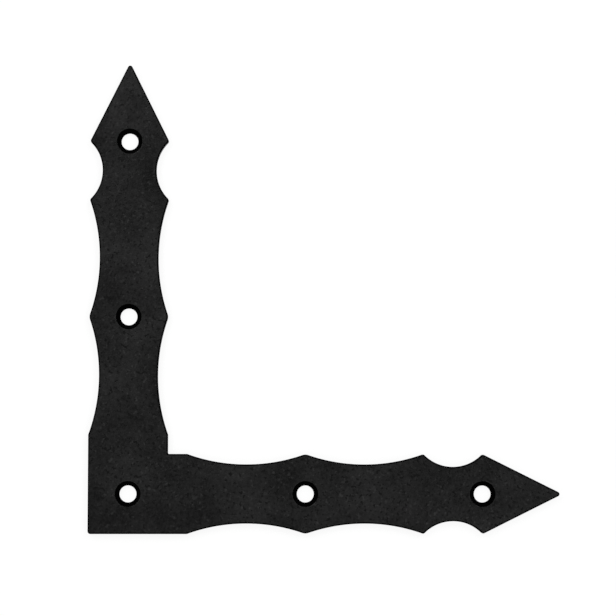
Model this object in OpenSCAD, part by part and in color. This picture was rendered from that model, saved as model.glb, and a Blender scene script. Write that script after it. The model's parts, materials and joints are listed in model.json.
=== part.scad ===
// Ornamental flat corner brace: one stamped steel plate in the shape of an L, with scalloped
// arms, spear points and five countersunk screw holes.
//
// Frame: the origin is the centre of the corner hole at the back face. The arms run along +X
// and +Y, and +Z points out of the front face, on which the holes are countersunk.

/* [Plate] */
// Length of each arm, from the outer corner to the point of the spear
plate_l = 200; // [195:0.5:210]
// Width of an arm across its shoulders
arm_w = 33.8; // [31:0.2:36]
// Thickness of the coated steel
plate_t = 3; // [3:0.5:6]

/* [Outline] */
// Width of an arm at the waist of a long scallop
scallop_waist_w = 25; // [20:0.5:26]
// Width of an arm at the waist of the notch behind the spear
notch_waist_w = 23; // [18:0.5:26]
// Radius of the spear's point, seen from the front
tip_r = 1; // [0.8:0.1:3]
// Radius of the blunt middle shoulders between the two long scallops, seen from the front
middle_shoulder_r = 4; // [1:0.5:6]
// Radius of the shoulders on either side of the notch, seen from the front
shoulder_r = 1.2; // [1.2:0.1:2]
// Radius of the outer corner, seen from the front
outer_corner_r = 1.2; // [0.8:0.1:6]
// Radius of the inner corner, seen from the front
inner_corner_r = 0.5; // [0.3:0.1:3]

/* [Holes] */
// Distance between neighbouring holes on an arm
hole_pitch = 75.2; // [72:0.2:76]
// Diameter of a screw hole
hole_d = 7.2; // [6.6:0.1:8]
// Diameter of a countersink at the front face
sink_d = 10.8; // [9.6:0.1:11.6]
// Included angle of a countersink
sink_angle = 90; // [90, 100, 120]

/* [Edges] */
// Radius rolled onto the front edge
front_edge_r = 0.6; // [0.3:0.05:0.7]
// Radius left on the back edge
back_edge_r = 0.2; // [0.1:0.05:0.4]

/* [Hidden] */
$fn = 48;
scallop_fn = 120;
edge_fn = 16;

// How far a cutter runs past the faces, and past the corners, of the wall that it cuts
overcut = 1;
overrun = 3;
// Extra width all round the blank, which the cutters take off
blank_margin = 1;
// A rounding is set this share of its radius too far out, so that it meets the surfaces
// beside it at a slight angle of about 8 degrees instead of grazing them
stand_off = 0.01;
// The same for the edge rolled round a corner. It differs, so that the roll ends a little lower
// there than on the walls beside it, and two walls and two rolls never meet in one point.
corner_stand_off = 0.02;

// The outline is set out in thirds of the hole pitch: the block ends at 1, the long scallops
// span 1 to 3 and 3 to 5, the notch spans 5 to 6, and the spear starts beside the end hole, at 6.
half_w = arm_w / 2;
third = hole_pitch / 3;
end_hole_x = 2 * hole_pitch;

// Radius of an arc that dips by sagitta over a chord of twice half_chord
function dip_radius(half_chord, sagitta) = (half_chord ^ 2 + sagitta ^ 2) / (2 * sagitta);

scallop_dip = (arm_w - scallop_waist_w) / 2;
scallop_r = dip_radius(third, scallop_dip);
scallop_y = scallop_waist_w / 2 + scallop_r;
scallop_1 = [2 * third, scallop_y];
scallop_2 = [4 * third, scallop_y];

notch_dip = (arm_w - notch_waist_w) / 2;
notch_r = dip_radius(third / 2, notch_dip);
notch = [5.5 * third, notch_waist_w / 2 + notch_r];

// The spear's flank runs from its shoulder to touch the circle of the point
tip_x = plate_l - half_w - tip_r;
tip_distance = norm([tip_x - end_hole_x, half_w]);
spear_half = atan2(half_w, tip_x - end_hole_x) - asin(tip_r / tip_distance);
flank_l = half_w / sin(spear_half);

// The lower of the two points at which two circles cross
function circles_cross(c1, r1, c2, r2) =
    let (
        gap = norm(c2 - c1),
        along = (gap ^ 2 + r1 ^ 2 - r2 ^ 2) / (2 * gap),
        across = sqrt(r1 ^ 2 - along ^ 2),
        dir = (c2 - c1) / gap
    )
    c1 + along * dir + across * [dir.y, -dir.x];

// The second of the two points at which a line through p crosses a circle
function line_crosses(p, heading, c, r) =
    let (
        dir = [cos(heading), sin(heading)],
        middle = p + ((c - p) * dir) * dir
    )
    middle + sqrt(r ^ 2 - norm(c - middle) ^ 2) * dir;

// Direction from one point to another, in degrees
function heading(from, to) = atan2(to.y - from.y, to.x - from.x);

// Repeats what is set out on the +Y side of an arm on its other side
module both_sides() {
    children();
    mirror([0, 1, 0])
        children();
}

// Repeats what is set out on the arm along +X on the arm along +Y
module both_arms() {
    children();
    mirror([1, -1, 0])
        children();
}

// What is cut away outside a wall at x = 0: x is the distance from the wall, y the height
module edge_section(reach, roll_stand_off = stand_off) {
    front = front_edge_r * (1 - roll_stand_off);
    back = back_edge_r * (1 - roll_stand_off);
    top = plate_t + overcut;
    difference() {
        polygon([
            [reach, -overcut],
            [reach, top],
            [-front, top],
            [-front, plate_t - front],
            [0, plate_t - front],
            [0, back],
            [-back, back],
            [-back, -overcut]
        ]);
        translate([-front, plate_t - front])
            circle(front_edge_r, $fn = edge_fn);
        translate([-back, back])
            circle(back_edge_r, $fn = edge_fn);
    }
}

// Cuts back to a straight wall along the X axis that faces +Y
module straight_cutter(from, to) {
    translate([from, 0, 0])
        rotate([90, 0, 90])
            linear_extrude(to - from)
                edge_section(3 * blank_margin);
}

// Sweeps a section that stands at radius r about a centre, between two headings
module sweep(centre, r, from, to) {
    translate(centre)
        rotate([0, 0, from])
            rotate_extrude(angle = to - from)
                translate([r, 0])
                    children();
}

// Cuts back to a hollow wall of radius r, between two headings from its centre
module hollow_cutter(centre, r, from, to, reach) {
    sweep(centre, r, from, to)
        mirror([1, 0])
            edge_section(reach);
}

// Rounds a corner to radius r, between two headings from the centre of the rounding
module corner_cutter(centre, r, from, to) {
    sweep(centre, r, from, to)
        edge_section(r / cos((to - from) / 2), corner_stand_off);
}

// Cuts a scallop or notch whose shoulders are half_chord each side of its middle
module dip_cutter(centre, r, half_chord, dip) {
    half_angle = asin(half_chord / r) + overrun / r * 180 / PI;
    hollow_cutter(centre, r, -90 - half_angle, -90 + half_angle, dip + 2 * blank_margin);
}

// One side of the spear
module flank_cutter() {
    translate([end_hole_x, half_w, 0])
        rotate([0, 0, -spear_half])
            straight_cutter(-overrun, flank_l + overrun);
}

// The three shoulders of the scallops and the notch, where they meet each other and the spear.
// At the end of the block the outline turns too little to need rounding.
module shoulder_cutters() {
    around_both = scallop_r + middle_shoulder_r * (1 - stand_off);
    mid = circles_cross(scallop_1, around_both, scallop_2, around_both);
    corner_cutter(mid, middle_shoulder_r, heading(mid, scallop_2), heading(mid, scallop_1));

    inset = shoulder_r * (1 - stand_off);
    around_scallop = scallop_r + inset;
    around_notch = notch_r + inset;
    front = circles_cross(scallop_2, around_scallop, notch, around_notch);
    corner_cutter(front, shoulder_r, heading(front, notch), heading(front, scallop_2));

    flank_inset = [end_hole_x, half_w] - inset * [sin(spear_half), cos(spear_half)];
    spear = line_crosses(flank_inset, -spear_half, notch, around_notch);
    corner_cutter(spear, shoulder_r, 90 - spear_half, heading(spear, notch));
}

// The point of the spear on the arm along +X
module tip_cutter() {
    centre = [tip_x + tip_r * stand_off / sin(spear_half), 0];
    corner_cutter(centre, tip_r, spear_half - 90, 90 - spear_half);
}

// The outer corner of the L
module outer_corner_cutter() {
    centre = outer_corner_r * (1 - stand_off) - half_w;
    corner_cutter([centre, centre], outer_corner_r, -180, -90);
}

// The straight edge of the corner block on the outside of the arm along +X
module outer_edge_cutter() {
    mirror([0, 1, 0])
        translate([0, half_w, 0])
            straight_cutter(-half_w - overrun, third + overrun);
}

// The straight edges of the corner block on the inside of the L, and the corner between them
module inner_edge_cutter() {
    centre = half_w + inner_corner_r;
    both_arms()
        translate([0, half_w, 0])
            straight_cutter(centre, third + overrun);
    hollow_cutter([centre, centre], inner_corner_r, -180, -90, inner_corner_r);
}

// One screw hole with its countersink
module screw_hole() {
    slope = tan(sink_angle / 2);
    sink_depth = (sink_d - hole_d) / 2 / slope;
    translate([0, 0, -overcut])
        cylinder(h = plate_t + 2 * overcut, d = hole_d);
    translate([0, 0, plate_t - sink_depth])
        cylinder(h = sink_depth + overcut, d1 = hole_d, d2 = sink_d + 2 * overcut * slope);
}

// The plate is cut in stages, each on the finished edges of the one before. The tools of one
// stage stay clear of each other, so that every edge meets its neighbour in a clean mitre.

// The rough outline, a little too large all round
module blank() {
    w = half_w + blank_margin;
    both_arms()
        linear_extrude(plate_t)
            polygon([
                [-w, -w],
                [end_hole_x, -w],
                [end_hole_x + w / tan(spear_half), 0],
                [end_hole_x, w],
                [-w, w]
            ]);
}

module pointed_blank() {
    difference() {
        difference() {
            blank();
            both_arms()
                flank_cutter();
        }
        both_arms()
            mirror([0, 1, 0])
                flank_cutter();
    }
}

module notched_blank() {
    difference() {
        pointed_blank();
        both_arms()
            both_sides()
                dip_cutter(notch, notch_r, third / 2, notch_dip);
    }
}

module scalloped_blank() {
    difference() {
        difference() {
            notched_blank();
            both_arms()
                both_sides()
                    dip_cutter(scallop_2, scallop_r, third, scallop_dip, $fn = scallop_fn);
        }
        both_arms()
            both_sides()
                dip_cutter(scallop_1, scallop_r, third, scallop_dip, $fn = scallop_fn);
    }
}

module trimmed_blank() {
    difference() {
        difference() {
            difference() {
                scalloped_blank();
                inner_edge_cutter();
            }
            outer_edge_cutter();
        }
        mirror([1, -1, 0])
            outer_edge_cutter();
    }
}

module rounded_blank() {
    difference() {
        trimmed_blank();
        both_arms() {
            both_sides()
                shoulder_cutters();
            tip_cutter();
        }
        outer_corner_cutter();
    }
}

module corner_plate() {
    color([0.13, 0.13, 0.135])
        difference() {
            rounded_blank();
            both_arms()
                for (n = [1, 2])
                    translate([n * hole_pitch, 0, 0])
                        screw_hole();
            screw_hole();
        }
}

corner_plate();
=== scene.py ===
"""Dresses a flat ornamental corner brace: one L-shaped plate in fine-textured black powder coat.

The plate is modelled in the frame of its CAD node and at the same sizes, with finer arcs and with
softened rims. Everything is in metres: the corner screw hole stands at the origin, the arms run
along +X and +Y, and +Z points out of the countersunk front.
"""

import json
import logging
import math
from collections.abc import Callable
from dataclasses import dataclass, field
from enum import Enum

import bpy
from mathutils import Matrix, Vector


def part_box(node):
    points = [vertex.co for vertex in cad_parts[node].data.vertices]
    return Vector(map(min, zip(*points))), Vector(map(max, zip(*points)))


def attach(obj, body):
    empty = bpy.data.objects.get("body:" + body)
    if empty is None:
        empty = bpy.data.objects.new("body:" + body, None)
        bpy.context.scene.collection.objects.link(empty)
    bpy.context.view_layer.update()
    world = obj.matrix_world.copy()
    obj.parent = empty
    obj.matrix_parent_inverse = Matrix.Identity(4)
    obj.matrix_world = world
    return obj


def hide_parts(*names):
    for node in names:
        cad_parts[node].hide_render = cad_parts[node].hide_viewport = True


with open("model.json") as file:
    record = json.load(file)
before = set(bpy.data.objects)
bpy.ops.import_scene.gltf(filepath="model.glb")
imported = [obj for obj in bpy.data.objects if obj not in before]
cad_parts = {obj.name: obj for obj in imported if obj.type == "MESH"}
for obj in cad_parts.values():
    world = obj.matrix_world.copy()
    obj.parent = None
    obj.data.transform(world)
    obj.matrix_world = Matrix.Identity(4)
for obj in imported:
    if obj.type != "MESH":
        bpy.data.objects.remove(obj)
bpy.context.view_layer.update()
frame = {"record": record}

LOG = logging.getLogger("corner_brace")
MM = 0.001
CLOSE = 1e-6
SEAM = 10 * CLOSE
RIGHT_ANGLE = math.pi / 2
FLAT_NORMAL_Z = 0.9999
MIDDLE_OF_NOISE = 0.5


def from_origin(distance: float, heading: float) -> Vector:
    """Returns the point in the XY plane at that distance and heading, in metres and radians."""
    return Vector((distance * math.cos(heading), distance * math.sin(heading), 0))


def heading_to(start: Vector, end: Vector) -> float:
    """Returns the heading from one point to another in the XY plane, in radians."""
    return math.atan2(end.y - start.y, end.x - start.x)


def dip_radius(half_chord: float, sagitta: float) -> float:
    """Returns the radius of an arc that dips by a sagitta over a chord.

    Args:
        half_chord: Half the length of the chord.
        sagitta: How far the arc's middle lies from the chord.

    Returns:
        The radius, in the unit of the arguments.
    """
    return (half_chord**2 + sagitta**2) / (2 * sagitta)


def lower_crossing(c1: Vector, r1: float, c2: Vector, r2: float) -> Vector:
    """Finds the point below two circles' centres where the circles cross.

    Args:
        c1: Centre of the first circle, to the left.
        r1: Radius of the first circle.
        c2: Centre of the second circle, to the right.
        r2: Radius of the second circle.

    Returns:
        The crossing on the -Y side.
    """
    gap = (c2 - c1).length
    along = (gap**2 + r1**2 - r2**2) / (2 * gap)
    across = math.sqrt(r1**2 - along**2)
    direction = (c2 - c1) / gap
    return c1 + along * direction + across * Vector((direction.y, -direction.x, 0))


def edit(piece: bpy.types.Object, select_mode: str = "VERT") -> None:
    """Opens a piece in edit mode with nothing selected.

    Args:
        piece: The mesh object to edit.
        select_mode: VERT, EDGE or FACE.
    """
    bpy.ops.object.select_all(action="DESELECT")
    bpy.context.view_layer.objects.active = piece
    piece.select_set(True)
    bpy.ops.object.mode_set(mode="EDIT")
    bpy.ops.mesh.select_mode(type=select_mode)
    bpy.ops.mesh.select_all(action="DESELECT")


def leave_edit() -> None:
    """Closes edit mode."""
    bpy.ops.object.mode_set(mode="OBJECT")


def select_edges(piece: bpy.types.Object, passes: Callable[[Vector], bool]) -> None:
    """Opens a piece in edit mode with those edges selected whose two ends pass a test.

    Args:
        piece: The mesh object to edit.
        passes: Says from its place whether an end passes.
    """
    edit(piece, "EDGE")
    leave_edit()
    mesh = piece.data
    for edge in mesh.edges:
        edge.select = all(passes(mesh.vertices[end].co) for end in edge.vertices)
    bpy.ops.object.mode_set(mode="EDIT")


def apply_modifier(piece: bpy.types.Object, kind: str, **settings: object) -> None:
    """Adds a modifier to a piece and applies it.

    Args:
        piece: The object that gets the modifier.
        kind: Blender's type name of the modifier.
        **settings: Values of the modifier's properties.
    """
    bpy.ops.object.select_all(action="DESELECT")
    bpy.context.view_layer.objects.active = piece
    piece.select_set(True)
    modifier = piece.modifiers.new(kind.title(), kind)
    for name, value in settings.items():
        setattr(modifier, name, value)
    bpy.ops.object.modifier_apply(modifier=modifier.name)


def maths(
    tree: bpy.types.NodeTree, operation: str, *values: bpy.types.NodeSocket | float
) -> bpy.types.NodeSocket:
    """Adds a Math node to a node tree.

    Args:
        tree: The tree of a material or a node group.
        operation: Blender's name of the operation.
        *values: A socket or a number for each input of the node.

    Returns:
        The node's output.
    """
    node = tree.nodes.new("ShaderNodeMath")
    node.operation = operation
    for socket, value in zip(node.inputs, values):
        if isinstance(value, bpy.types.NodeSocket):
            tree.links.new(value, socket)
        else:
            socket.default_value = value
    return node.outputs[0]


@dataclass(frozen=True)
class Arc:
    """An arc of the outline, drawn from one heading to another about its centre."""

    centre: Vector
    radius: float
    start: float
    end: float

    @classmethod
    def between(cls, centre: Vector, radius: float, start: Vector, end: Vector) -> "Arc":
        """Draws an arc from the side that faces one point to the side that faces another."""
        return cls(centre, radius, heading_to(centre, start), heading_to(centre, end))

    def start_point(self) -> Vector:
        """Returns the point at which the arc starts."""
        return self.centre + from_origin(self.radius, self.start)

    def across_arm(self) -> "Arc":
        """Returns the arc's mirror image across the arm along +X."""
        centre = Vector((self.centre.x, -self.centre.y, 0))
        return Arc(centre, self.radius, -self.start, -self.end)

    def backwards(self) -> "Arc":
        """Returns the same arc, drawn from its end to its start."""
        return Arc(self.centre, self.radius, self.end, self.start)


class Pen:
    """Draws a chain of edges in edit mode, by extruding and spinning a single vertex.

    Attributes:
        longest_step: Longest step along an arc.
        sharpest_turn: Largest turn from one step of an arc to the next, in radians.
    """

    longest_step: float = 0.7 * MM
    sharpest_turn: float = math.radians(7.5)

    def __init__(self, name: str, start: Vector) -> None:
        """Puts the pen down on a new piece whose object sits at the origin.

        Args:
            name: Name of the new piece.
            start: Where the chain starts.
        """
        bpy.ops.mesh.primitive_plane_add(size=1, location=(0, 0, 0))
        self.piece = bpy.context.object
        self.piece.name = self.piece.data.name = name
        bpy.ops.object.mode_set(mode="EDIT")
        bpy.ops.mesh.select_mode(type="VERT")
        bpy.ops.mesh.select_all(action="SELECT")
        bpy.ops.mesh.merge(type="CENTER")
        bpy.ops.transform.translate(value=start)
        self.tip = start.copy()

    def line_to(self, end: Vector) -> None:
        """Draws a straight line, unless the pen is there already.

        Args:
            end: Where the line ends.
        """
        step = end - self.tip
        if step.length > CLOSE:
            bpy.ops.mesh.extrude_region_move(TRANSFORM_OT_translate={"value": step})
            self.tip = end.copy()

    def arc(self, arc: Arc) -> None:
        """Draws a line to the start of an arc, and then the arc.

        Args:
            arc: The arc to draw.
        """
        self.line_to(arc.start_point())
        sweep = arc.end - arc.start
        by_length = abs(sweep) * arc.radius / self.longest_step
        by_turn = abs(sweep) / self.sharpest_turn
        steps = math.ceil(max(by_length, by_turn))
        bpy.ops.mesh.spin(steps=steps, angle=-sweep, center=arc.centre, axis=(0, 0, 1))
        self.tip = arc.centre + from_origin(arc.radius, arc.end)

    def lift(self) -> bpy.types.Object:
        """Leaves edit mode and returns the piece."""
        leave_edit()
        return self.piece


@dataclass(frozen=True)
class Rim:
    """A round edge of a hole, seen from the hole's centre at the back face.

    Attributes:
        radius: Radius of the edge before it is softened.
        height: Its height.
        rounding: Radius of the rounding that softens it.
        steps: Number of steps across the rounding.
        tolerance: How near to the edge a point counts as on it.
    """

    radius: float
    height: float
    rounding: float
    steps: int
    tolerance: float = 20 * CLOSE

    def holds(self, point: Vector) -> bool:
        """Says whether a point lies on the edge."""
        off = max(abs(point.xy.length - self.radius), abs(point.z - self.height))
        return off < self.tolerance

    def soften(self, plate: bpy.types.Object, centre: Vector) -> None:
        """Rounds the edge.

        Args:
            plate: The plate, with its holes cut.
            centre: The hole's centre at the back face.
        """
        select_edges(plate, lambda point: self.holds(point - centre))
        bpy.ops.mesh.bevel(
            offset=self.rounding, segments=self.steps, affect="EDGES", clamp_overlap=False
        )
        leave_edit()


@dataclass(frozen=True)
class ScrewHole:
    """A countersunk hole for a wood screw.

    Attributes:
        radius: Radius of the hole.
        sink_radius: Radius of the countersink at the front face.
        sink_half_angle: Angle between the countersink's wall and the hole's axis.
        rim_r: Radius that softens the rim of the countersink.
        rim_steps: Number of steps across it.
        rim_tilt: How far that rim tilts before it takes the coat with painted shade.
        back_rim_r: Radius that softens the hole's rim at the back.
        back_rim_steps: Number of steps across it.
        sides: Number of steps round the hole.
    """

    radius: float
    sink_radius: float = 5.4 * MM
    sink_half_angle: float = math.radians(45)
    rim_r: float = 0.25 * MM
    rim_steps: int = 5
    rim_tilt: float = math.radians(18)
    back_rim_r: float = 0.15 * MM
    back_rim_steps: int = 3
    sides: int = 96

    @property
    def rim_reach(self) -> float:
        """Distance from its axis within which the countersink's softened rim lies."""
        return self.sink_radius + 2 * self.rim_r

    @property
    def clear_radius(self) -> float:
        """Distance from its axis within which no wall of the outline stands."""
        return 2 * self.sink_radius

    def cutter(self, thickness: float) -> bpy.types.Object:
        """Turns the solid that is cut out of the plate.

        Args:
            thickness: Thickness of the plate.

        Returns:
            A closed solid of revolution about the Z axis.
        """
        past = thickness
        slope = math.tan(self.sink_half_angle)
        land = thickness - (self.sink_radius - self.radius) / slope
        pen = Pen("screw_hole_cutter", Vector((0, 0, -past)))
        pen.line_to(Vector((self.radius, 0, -past)))
        pen.line_to(Vector((self.radius, 0, land)))
        pen.line_to(Vector((self.sink_radius + past * slope, 0, thickness + past)))
        pen.line_to(Vector((0, 0, thickness + past)))
        bpy.ops.mesh.select_all(action="SELECT")
        bpy.ops.mesh.spin(steps=self.sides, angle=math.tau, center=(0, 0, 0), axis=(0, 0, 1))
        bpy.ops.mesh.select_all(action="SELECT")
        bpy.ops.mesh.remove_doubles(threshold=CLOSE)
        bpy.ops.mesh.normals_make_consistent(inside=False)
        return pen.lift()

    def rims(self, thickness: float) -> tuple[Rim, Rim]:
        """Lists the edges of the hole that are softened.

        Args:
            thickness: Thickness of the plate.

        Returns:
            The rim of the countersink, and the hole's rim at the back.
        """
        return (
            Rim(self.sink_radius, thickness, self.rim_r, self.rim_steps),
            Rim(self.radius, 0, self.back_rim_r, self.back_rim_steps),
        )


@dataclass(frozen=True)
class Noise:
    """A layer of the coat's grain: a noise with features of one size.

    Attributes:
        size: Size of the features.
        seed: Which of its endless patterns the noise shows.
        tone: How strongly the layer lightens the coat's tone.
        detail: Number of finer noises laid over it, each of half the size.
        sharpness: Strength of each of them as a share of the one before.
    """

    size: float
    seed: float
    tone: float = 0.0
    detail: float = 2.0
    sharpness: float = 0.5

    def add_to(self, tree: bpy.types.NodeTree, place: bpy.types.NodeSocket) -> bpy.types.NodeSocket:
        """Adds the layer to a node tree.

        Args:
            tree: The tree of a node group.
            place: The socket that says where on the piece the noise is read.

        Returns:
            The layer, centred on 0.
        """
        node = tree.nodes.new("ShaderNodeTexNoise")
        node.noise_dimensions = "4D"
        node.inputs["W"].default_value = self.seed
        node.inputs["Scale"].default_value = 1 / self.size
        node.inputs["Detail"].default_value = self.detail
        node.inputs["Roughness"].default_value = self.sharpness
        tree.links.new(place, node.inputs["Vector"])
        return maths(tree, "SUBTRACT", node.outputs["Fac"], MIDDLE_OF_NOISE)


@dataclass(frozen=True, kw_only=True)
class Specks(Noise):
    """Sparse soft specks in the coat, at the peaks of a noise.

    Attributes:
        start: Value of the noise at which a speck starts.
        full: Value of the noise at which it is whole.
    """

    detail: float = 1.0
    start: float
    full: float

    def add_to(self, tree: bpy.types.NodeTree, place: bpy.types.NodeSocket) -> bpy.types.NodeSocket:
        """Adds the specks to a node tree.

        Args:
            tree: The tree of a node group.
            place: The socket that says where on the piece the noise is read.

        Returns:
            The specks, from 0 between them to 1 where they are whole.
        """
        node = tree.nodes.new("ShaderNodeMapRange")
        node.interpolation_type = "SMOOTHSTEP"
        node.inputs["From Min"].default_value = self.start
        node.inputs["From Max"].default_value = self.full
        tree.links.new(super().add_to(tree, place), node.inputs["Value"])
        return node.outputs["Result"]


@dataclass(frozen=True)
class CoatGrain:
    """The grain of a sprayed and baked powder, a node group that both finishes share.

    Attributes:
        name: Name of the node group.
        clouds: Slow changes of tone over the whole plate.
        blotches: Smaller ones, which the roughness follows too.
        grains: The texture of the powder, which the roughness follows too.
        pits_with_painted_shade: Dark specks of painted shade, which are hollows as well.
        painted_glints: Light specks of painted glint.
        pebbles: The bumps of the surface.
        darkest: Least share of its grey that the coat keeps.
        gloss_swing: How strongly the roughness follows the grain.
        pit_depth: Depth of a pit, as a share of the coat's depth.
    """

    name: str = "coat_grain"
    clouds: Noise = Noise(40 * MM, seed=9.0, tone=7.2, sharpness=0.6)
    blotches: Noise = Noise(7 * MM, seed=2.0, tone=2.0, sharpness=0.7)
    grains: Noise = Noise(1.2 * MM, seed=3.0, tone=5.6, sharpness=0.8)
    # Dark specks of painted shade in the pits, and light specks of painted glint.
    pits_with_painted_shade: Specks = Specks(1.3 * MM, seed=4.0, tone=-6.0, start=0.09, full=0.22)
    painted_glints: Specks = Specks(1.3 * MM, seed=5.0, tone=2.9, start=0.1, full=0.24)
    pebbles: Noise = Noise(0.7 * MM, seed=6.0, detail=1.0)
    darkest: float = 0.05
    gloss_swing: float = 0.1
    pit_depth: float = 0.3

    def group(self) -> bpy.types.NodeTree:
        """Returns the grain's node group, which is built the first time."""
        return bpy.data.node_groups.get(self.name) or self.build()

    def build(self) -> bpy.types.NodeTree:
        """Builds the node group.

        Returns:
            The group, which puts out the colour, roughness and height of the coat.
        """
        tree = bpy.data.node_groups.new(self.name, "ShaderNodeTree")
        for direction, name, kind in (
            ("INPUT", "Place", "NodeSocketVector"),
            ("INPUT", "Grey", "NodeSocketFloat"),
            ("INPUT", "Mottle", "NodeSocketFloat"),
            ("INPUT", "Roughness", "NodeSocketFloat"),
            ("OUTPUT", "Colour", "NodeSocketColor"),
            ("OUTPUT", "Roughness", "NodeSocketFloat"),
            ("OUTPUT", "Height", "NodeSocketFloat"),
        ):
            tree.interface.new_socket(name, in_out=direction, socket_type=kind)
        source = tree.nodes.new("NodeGroupInput").outputs
        result = tree.nodes.new("NodeGroupOutput").inputs

        tone = 0.0
        parts = {}
        for layer in (self.clouds, self.blotches, self.grains, self.pits_with_painted_shade, self.painted_glints):
            parts[layer] = layer.add_to(tree, source["Place"])
            tone = maths(tree, "MULTIPLY_ADD", parts[layer], layer.tone, tone)
        share = maths(tree, "MULTIPLY_ADD", tone, source["Mottle"], 1.0)
        share = maths(tree, "MAXIMUM", share, self.darkest)
        grey = maths(tree, "MULTIPLY", share, source["Grey"])
        colour = tree.nodes.new("ShaderNodeCombineColor")
        for channel in ("Red", "Green", "Blue"):
            tree.links.new(grey, colour.inputs[channel])
        tree.links.new(colour.outputs["Color"], result["Colour"])

        rough = maths(tree, "ADD", parts[self.blotches], parts[self.grains])
        rough = maths(tree, "MULTIPLY_ADD", rough, self.gloss_swing, source["Roughness"])
        tree.links.new(rough, result["Roughness"])

        pebbles = self.pebbles.add_to(tree, source["Place"])
        height = maths(tree, "MULTIPLY_ADD", parts[self.pits_with_painted_shade], -self.pit_depth, pebbles)
        tree.links.new(height, result["Height"])
        return tree


@dataclass(frozen=True)
class PowderCoat:
    """A fine-textured black powder coat.

    Attributes:
        name: Name of its material.
        grey: Its grey, in linear light.
        roughness: Its roughness, about which the grain varies it.
        specular: Strength of its sheen, where 0.5 is that of plain paint.
        mottle: How strongly the grain shows in its tone.
        depth: Height of the grain's bumps.
        grain: The grain that it shares with other coats.
    """

    name: str
    grey: float
    roughness: float
    specular: float
    mottle: float
    depth: float
    grain: CoatGrain = CoatGrain()

    def material(self) -> bpy.types.Material:
        """Builds the coat's material.

        Returns:
            A material whose tone, gloss and height follow the shared grain group.
        """
        material = bpy.data.materials.new(self.name)
        material.use_nodes = True
        nodes, links = material.node_tree.nodes, material.node_tree.links
        shader = nodes["Principled BSDF"]
        shader.inputs["Specular IOR Level"].default_value = self.specular
        place = nodes.new("ShaderNodeTexCoord")
        grain = nodes.new("ShaderNodeGroup")
        grain.node_tree = self.grain.group()
        grain.inputs["Grey"].default_value = self.grey
        grain.inputs["Mottle"].default_value = self.mottle
        grain.inputs["Roughness"].default_value = self.roughness
        bump = nodes.new("ShaderNodeBump")
        bump.inputs["Distance"].default_value = self.depth
        links.new(place.outputs["Object"], grain.inputs["Place"])
        links.new(grain.outputs["Colour"], shader.inputs["Base Color"])
        links.new(grain.outputs["Roughness"], shader.inputs["Roughness"])
        links.new(grain.outputs["Height"], bump.inputs["Height"])
        links.new(bump.outputs["Normal"], shader.inputs["Normal"])
        return material


class Region(Enum):
    """The plain coat and its darker copy with painted shade on the edges and holes, by the index of
    their material slot.
    """

    FACES = 0
    # The darker, duller coat of the rolled front edge and the holes: painted shade.
    EDGES = 1


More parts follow.
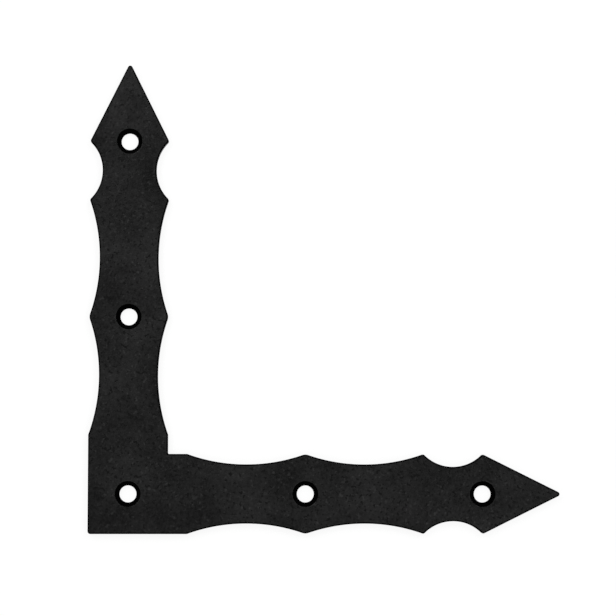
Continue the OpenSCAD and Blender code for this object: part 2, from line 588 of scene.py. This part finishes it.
@dataclass
class CornerPlate:
    """The whole brace: one stamped plate, cut by its outline and five screw holes.

    Attributes:
        box: Lowest and highest corner of the plate.
        holes: Centre of each screw hole at the back face.
        hole: Shape of every screw hole.
        name: Name of the piece.
        scallop_waist: Width of an arm at the waist of a scallop.
        notch_waist: Width of an arm at the waist of the notch behind the spear.
        tip_r: Radius of a spear's point, seen from the front.
        middle_shoulder_r: Radius of the blunt shoulders between the scallops.
        shoulder_r: Radius of the shoulders on either side of a notch.
        outer_corner_r: Radius of the outer corner.
        inner_corner_r: Radius of the inner corner.
        front_edge_r: Radius rolled onto the front edge.
        back_edge_r: Radius left on the back edge.
        front_edge_steps: Number of steps across the front edge.
        back_edge_steps: Number of steps across the back edge.
        smooth_below: Largest angle between two faces that are shaded as one.
        piece: The mesh object, once it is built.
    """

    box: tuple[Vector, Vector]
    holes: list[Vector]
    hole: ScrewHole
    name: str = "coated_plate"
    scallop_waist: float = 25 * MM
    notch_waist: float = 23 * MM
    tip_r: float = 1 * MM
    middle_shoulder_r: float = 4 * MM
    shoulder_r: float = 1.2 * MM
    outer_corner_r: float = 1.2 * MM
    inner_corner_r: float = 0.5 * MM
    front_edge_r: float = 0.6 * MM
    back_edge_r: float = 0.2 * MM
    front_edge_steps: int = 8
    back_edge_steps: int = 4
    smooth_below: float = math.radians(15)
    piece: bpy.types.Object = field(init=False)

    @property
    def half_w(self) -> float:
        """Half the width of an arm across its shoulders."""
        return -self.box[0].x

    @property
    def thickness(self) -> float:
        """Thickness of the coated steel."""
        return self.box[1].z - self.box[0].z

    @property
    def reach(self) -> float:
        """Distance from the corner hole to a spear's point."""
        return self.box[1].x

    @property
    def end_hole_x(self) -> float:
        """Distance from the corner hole to the hole in a spear."""
        return max(hole.x for hole in self.holes)

    @property
    def pitch(self) -> float:
        """Distance between neighbouring holes."""
        return self.end_hole_x / 2

    def side_arcs(self) -> list[Arc]:
        """Sets out the +Y side of the arm along +X, in thirds of the hole pitch.

        The corner block ends at 1, the scallops span 1 to 3 and 3 to 5, and the notch 5 to 6.

        Returns:
            The arcs from the end of the corner block to the spear's flank, in drawing order.
        """
        third = self.pitch / 3
        half_w = self.half_w
        scallop_r = dip_radius(third, half_w - self.scallop_waist / 2)
        scallop_y = self.scallop_waist / 2 + scallop_r
        notch_r = dip_radius(third / 2, half_w - self.notch_waist / 2)
        notch = Vector((5.5 * third, self.notch_waist / 2 + notch_r, 0))
        scallop_1 = Vector((2 * third, scallop_y, 0))
        scallop_2 = Vector((4 * third, scallop_y, 0))

        blunt = scallop_r + self.middle_shoulder_r
        middle = lower_crossing(scallop_1, blunt, scallop_2, blunt)
        around_scallop = scallop_r + self.shoulder_r
        around_notch = notch_r + self.shoulder_r
        front = lower_crossing(scallop_2, around_scallop, notch, around_notch)
        flank = self.flank_heading()
        spear = self.spear_shoulder(notch, around_notch, flank)

        block_end = Vector((third, half_w, 0))
        return [
            Arc.between(scallop_1, scallop_r, block_end, middle),
            Arc.between(middle, self.middle_shoulder_r, scallop_1, scallop_2),
            Arc.between(scallop_2, scallop_r, middle, front),
            Arc.between(front, self.shoulder_r, scallop_2, notch),
            Arc.between(notch, notch_r, front, spear),
            Arc(spear, self.shoulder_r, heading_to(spear, notch), flank + RIGHT_ANGLE),
        ]

    def flank_heading(self) -> float:
        """Finds how the spear's +Y flank runs from its shoulder to touch the round point.

        Returns:
            The flank's heading.
        """
        run = self.reach - self.tip_r - self.end_hole_x
        distance = math.hypot(run, self.half_w)
        return math.asin(self.tip_r / distance) - math.atan2(self.half_w, run)

    def spear_shoulder(self, notch: Vector, radius: float, flank: float) -> Vector:
        """Finds the centre of the rounding between the notch and the spear's flank.

        Args:
            notch: Centre of the notch.
            radius: Distance from that centre to the centre of the rounding.
            flank: Heading of the flank.

        Returns:
            The centre, as far inside the flank as the rounding's radius.
        """
        corner = Vector((self.end_hole_x, self.half_w, 0))
        inside = corner + from_origin(self.shoulder_r, flank - RIGHT_ANGLE)
        direction = from_origin(1, flank)
        nearest = inside + (notch - inside).dot(direction) * direction
        return nearest + math.sqrt(radius**2 - (notch - nearest).length_squared) * direction

    def arm_arcs(self) -> list[Arc]:
        """Sets out the arm along +X, from the outer corner's diagonal round to the inner one's.

        Returns:
            The arcs in drawing order, counterclockwise seen from the front.
        """
        outer = self.outer_corner_r - self.half_w
        inner = self.half_w + self.inner_corner_r
        side = self.side_arcs()
        flank = self.flank_heading()
        tip = Vector((self.reach - self.tip_r, 0, 0))
        diagonal = -1.5 * RIGHT_ANGLE
        return [
            Arc(Vector((outer, outer, 0)), self.outer_corner_r, diagonal, -RIGHT_ANGLE),
            *[arc.across_arm() for arc in side],
            Arc(tip, self.tip_r, -RIGHT_ANGLE - flank, RIGHT_ANGLE + flank),
            *[arc.backwards() for arc in reversed(side)],
            Arc(Vector((inner, inner, 0)), self.inner_corner_r, -RIGHT_ANGLE, diagonal),
        ]

    def build(self) -> bpy.types.Object:
        """Models the plate: outline, thickness, rolled edges, holes and shading.

        Returns:
            The finished piece, which stands for the CAD node.
        """
        self.piece = self.outline()
        self.thicken()
        self.roll_edge(self.thickness, self.front_edge_r, self.front_edge_steps)
        self.roll_edge(0, self.back_edge_r, self.back_edge_steps)
        self.cut_holes()
        self.smooth()
        return self.piece

    def outline(self) -> bpy.types.Object:
        """Draws one arm's outline and mirrors it across the diagonal.

        Returns:
            The piece, a closed chain of edges at the back face.
        """
        arcs = self.arm_arcs()
        pen = Pen(self.name, arcs[0].start_point())
        for arc in arcs:
            pen.arc(arc)
        piece = pen.lift()
        diagonal = bpy.data.objects.new("diagonal", None)
        bpy.context.collection.objects.link(diagonal)
        diagonal.rotation_euler.z = -RIGHT_ANGLE / 2
        apply_modifier(piece, "MIRROR", mirror_object=diagonal, merge_threshold=SEAM)
        bpy.data.objects.remove(diagonal)
        return piece

    def thicken(self) -> None:
        """Fills the outline and extrudes it to the plate's thickness."""
        edit(self.piece)
        bpy.ops.mesh.select_all(action="SELECT")
        bpy.ops.mesh.remove_doubles(threshold=SEAM)
        bpy.ops.mesh.edge_face_add()
        up = Vector((0, 0, self.thickness))
        bpy.ops.mesh.extrude_region_move(TRANSFORM_OT_translate={"value": up})
        bpy.ops.mesh.select_all(action="SELECT")
        bpy.ops.mesh.normals_make_consistent(inside=False)
        leave_edit()

    def roll_edge(self, height: float, radius: float, segments: int) -> None:
        """Rolls a radius onto the outline of the front or the back face.

        Args:
            height: Height of the face.
            radius: Radius of the rolled edge.
            segments: Number of steps across it.
        """
        select_edges(self.piece, lambda point: abs(point.z - height) < CLOSE)
        bpy.ops.mesh.bevel(offset=radius, segments=segments, affect="EDGES", clamp_overlap=False)
        leave_edit()

    def cut_holes(self) -> None:
        """Cuts the countersunk holes with copies of one turned cutter, and softens their rims."""
        pattern = self.hole.cutter(self.thickness)
        for centre in self.holes:
            cutter = pattern.copy()
            cutter.data = pattern.data.copy()
            cutter.data.transform(Matrix.Translation(centre))
            bpy.context.collection.objects.link(cutter)
            apply_modifier(
                self.piece, "BOOLEAN", object=cutter, operation="DIFFERENCE", solver="EXACT"
            )
            bpy.data.objects.remove(cutter)
        bpy.data.objects.remove(pattern)
        for centre in self.holes:
            for rim in self.hole.rims(self.thickness):
                rim.soften(self.piece, centre)

    def smooth(self) -> None:
        """Shades the roundings smooth and keeps the flat faces flat right up to them."""
        edit(self.piece)
        bpy.ops.mesh.select_all(action="SELECT")
        bpy.ops.mesh.remove_doubles(threshold=CLOSE)
        bpy.ops.mesh.normals_make_consistent(inside=False)
        leave_edit()
        bpy.ops.object.shade_smooth_by_angle(angle=self.smooth_below)
        apply_modifier(self.piece, "WEIGHTED_NORMAL", keep_sharp=True, weight=100)

    def dress(self, finishes: dict[Region, PowderCoat]) -> None:
        """Gives the flat faces and the stamped walls the plain coat, and the edges and holes the
        coat with painted shade.

        Args:
            finishes: The coat of each region.
        """
        for region in Region:
            self.piece.data.materials.append(finishes[region].material())
        for face in self.piece.data.polygons:
            face.material_index = self.region(face).value

    def region(self, face: bpy.types.MeshPolygon) -> Region:
        """Says which finish a face of the plate has.

        Args:
            face: A face of the finished plate.

        Returns:
            FACES for the front and the back, the start of a countersink's rim and the stamped
            walls, and EDGES, the coat with painted shade, for the rolled front edge and the inside
            of a hole.
        """
        if abs(face.normal.z) > FLAT_NORMAL_Z or self.on_rim(face):
            return Region.FACES
        below_roll = face.center.z < self.thickness - self.front_edge_r
        in_hole = self.near_hole(face, self.hole.clear_radius)
        # The rolled front edge and the holes get the coat with painted shade.
        return Region.FACES if below_roll and not in_hole else Region.EDGES

    def on_rim(self, face: bpy.types.MeshPolygon) -> bool:
        """Says whether a face belongs to the start of a countersink's softened rim."""
        level = face.normal.z > math.cos(self.hole.rim_tilt)
        return level and self.near_hole(face, self.hole.rim_reach)

    def near_hole(self, face: bpy.types.MeshPolygon, distance: float) -> bool:
        """Says whether a face's middle lies within a distance of a hole's axis."""
        return any((face.center - centre).xy.length < distance for centre in self.holes)


@dataclass(frozen=True)
class Softbox:
    """A square studio lamp.

    Attributes:
        azimuth: Where it hangs round its target, in degrees from +X towards +Y.
        watts: Its power.
        elevation: How high it hangs above its target, in degrees.
        distance: How far it is from its target.
        side: Length of its side.
    """

    azimuth: float
    watts: float
    elevation: float = 40
    distance: float = 1.5
    side: float = 0.9

    def place(self, target: Vector) -> None:
        """Hangs the lamp in its place and turns it to face the target.

        Args:
            target: The point that it faces.
        """
        data = bpy.data.lights.new("softbox", "AREA")
        data.size = self.side
        data.energy = self.watts
        lamp = bpy.data.objects.new("softbox", data)
        bpy.context.collection.objects.link(lamp)
        level = from_origin(math.cos(math.radians(self.elevation)), math.radians(self.azimuth))
        back = level + Vector((0, 0, math.sin(math.radians(self.elevation))))
        lamp.location = target + back * self.distance
        lamp.rotation_euler = back.to_track_quat("Z", "Y").to_euler()


@dataclass(frozen=True)
class Studio:
    """The pale floor and screen, the light and the camera.

    Attributes:
        target: Point of the brace that the camera and the lamps face.
        distance: How far the camera is from it.
        lean_x: How far the camera leans from straight above towards +X.
        lean_y: How far it leans towards +Y.
        roll: How far it is turned about its own axis.
        lens: Focal length of the camera, in millimetres.
        paint: Grey of the floor and the screen under the lamps.
        floor_side: Side of the square floor.
        floor_gap: How far the floor lies below the brace.
        floor_glow: Light added to the floor where it is seen, where 1 is white.
        screen_height: Height of the round screen.
        screen_inset: How far it stands inside the edge of the floor.
        screen_sides: Number of flat sides that it has.
        screen_glow: Light added to the screen where it is seen.
        room_light: Strength of the soft light above the screen.
        lamps: The softboxes.
    """

    target: Vector = Vector((76.3, 79.1, 1.5)) * MM
    distance: float = 985.6 * MM
    lean_x: float = math.radians(-0.9)
    lean_y: float = math.radians(-4.0)
    roll: float = math.radians(0.03)
    lens: float = 135.0
    paint: float = 0.14
    floor_side: float = 6.0
    floor_gap: float = 0.05 * MM
    floor_glow: float = 0.88
    screen_height: float = 1.2
    screen_inset: float = 0.05
    screen_sides: int = 96
    screen_glow: float = 1.0
    room_light: float = 0.16
    lamps: tuple[Softbox, ...] = (
        Softbox(azimuth=45, watts=10.6),
        Softbox(azimuth=135, watts=10.6),
        Softbox(azimuth=225, watts=5.3),
        Softbox(azimuth=315, watts=5.3),
    )

    def build(self) -> None:
        """Sets the stage round the brace."""
        self.build_floor()
        self.build_backdrop()
        self.build_world()
        self.build_camera()
        for lamp in self.lamps:
            lamp.place(self.target)
        bpy.context.scene.view_settings.view_transform = "Standard"

    def build_floor(self) -> None:
        """Lays the pale floor a hair below the brace's back, so that the two never coincide."""
        bpy.ops.object.select_all(action="DESELECT")
        bpy.ops.mesh.primitive_plane_add(size=self.floor_side, location=(0, 0, -self.floor_gap))
        floor = bpy.context.object
        floor.name = "floor"
        floor.data.materials.append(self.pale_paint("pale_floor", self.floor_glow))

    def build_backdrop(self) -> None:
        """Stands a low pale screen all round the floor, open to the room above it."""
        bpy.ops.object.select_all(action="DESELECT")
        bpy.ops.mesh.primitive_cylinder_add(
            vertices=self.screen_sides,
            radius=self.floor_side / 2 - self.screen_inset,
            depth=self.screen_height,
            end_fill_type="NOTHING",
            location=(0, 0, self.screen_height / 2),
        )
        screen = bpy.context.object
        screen.name = "backdrop"
        screen.data.materials.append(self.pale_paint("pale_backdrop", self.screen_glow))

    def pale_paint(self, name: str, glow: float) -> bpy.types.Material:
        """Builds a pale material that is seen as white, also in gloss, and still takes a shadow.

        Args:
            name: Name of the material.
            glow: Light added to it for camera, glossy and transmission rays.

        Returns:
            The material.
        """
        material = bpy.data.materials.new(name)
        material.use_nodes = True
        tree = material.node_tree
        shader = tree.nodes["Principled BSDF"]
        shader.inputs["Base Color"].default_value = (self.paint, self.paint, self.paint, 1)
        shader.inputs["Roughness"].default_value = 1.0
        shader.inputs["Specular IOR Level"].default_value = 0.0
        shader.inputs["Emission Color"].default_value = (1, 1, 1, 1)
        rays = tree.nodes.new("ShaderNodeLightPath").outputs
        seen = maths(tree, "MAXIMUM", rays["Is Camera Ray"], rays["Is Glossy Ray"])
        seen = maths(tree, "MAXIMUM", seen, rays["Is Transmission Ray"])
        strength = maths(tree, "MULTIPLY", seen, glow)
        tree.links.new(strength, shader.inputs["Emission Strength"])
        return material

    def build_world(self) -> None:
        """Fills the room above the screen with a dim soft light."""
        world = bpy.data.worlds.new("studio")
        world.use_nodes = True
        bpy.context.scene.world = world
        room = world.node_tree.nodes["Background"]
        room.inputs["Strength"].default_value = self.room_light
        room.inputs["Color"].default_value = (1, 1, 1, 1)

    def build_camera(self) -> None:
        """Hangs the camera over the brace, leaning a few degrees from straight above."""
        data = bpy.data.cameras.new("camera")
        data.lens = self.lens
        camera = bpy.data.objects.new("camera", data)
        bpy.context.collection.objects.link(camera)
        back = Vector((math.tan(self.lean_x), math.tan(self.lean_y), 1)).normalized()
        right = Vector((0, 1, 0)).cross(back).normalized()
        up = back.cross(right)
        turned = Matrix((right, up, back)).transposed() @ Matrix.Rotation(self.roll, 3, "Z")
        place = Matrix.Translation(self.target + back * self.distance)
        camera.matrix_world = place @ turned.to_4x4()
        bpy.context.scene.camera = camera


def main() -> None:
    """Builds the brace and its stage, and reports each piece."""
    logging.basicConfig(level=logging.INFO, format="%(message)s")
    bores = [mount for mount in frame["record"]["mounts"] if mount["kind"] == "bore"]
    plate = CornerPlate(
        box=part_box("corner_plate"),
        holes=[Vector(bore["pos_m"]) for bore in bores],
        hole=ScrewHole(radius=bores[0]["dims"]["r_mm"] * MM),
    )
    piece = plate.build()
    on_faces = PowderCoat(
        "coat_on_faces", grey=0.0079, roughness=0.42, specular=0.22, mottle=0.56, depth=0.1 * MM
    )
    # A near-black, nearly glossless copy of the face coat for the rolled front edge and the holes:
    # painted shade, and painted dullness in place of their sheen.
    painted_shade_coat = PowderCoat(
        "edge_coat_with_painted_shade", grey=0.0005, roughness=0.6, specular=0.006, mottle=0.3, depth=0.02 * MM
    )
    plate.dress({Region.FACES: on_faces, Region.EDGES: painted_shade_coat})
    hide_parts("corner_plate")
    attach(piece, "root")
    LOG.info("%s: %d faces", piece.name, len(piece.data.polygons))
    Studio().build()


if __name__ == "__main__":
    main()
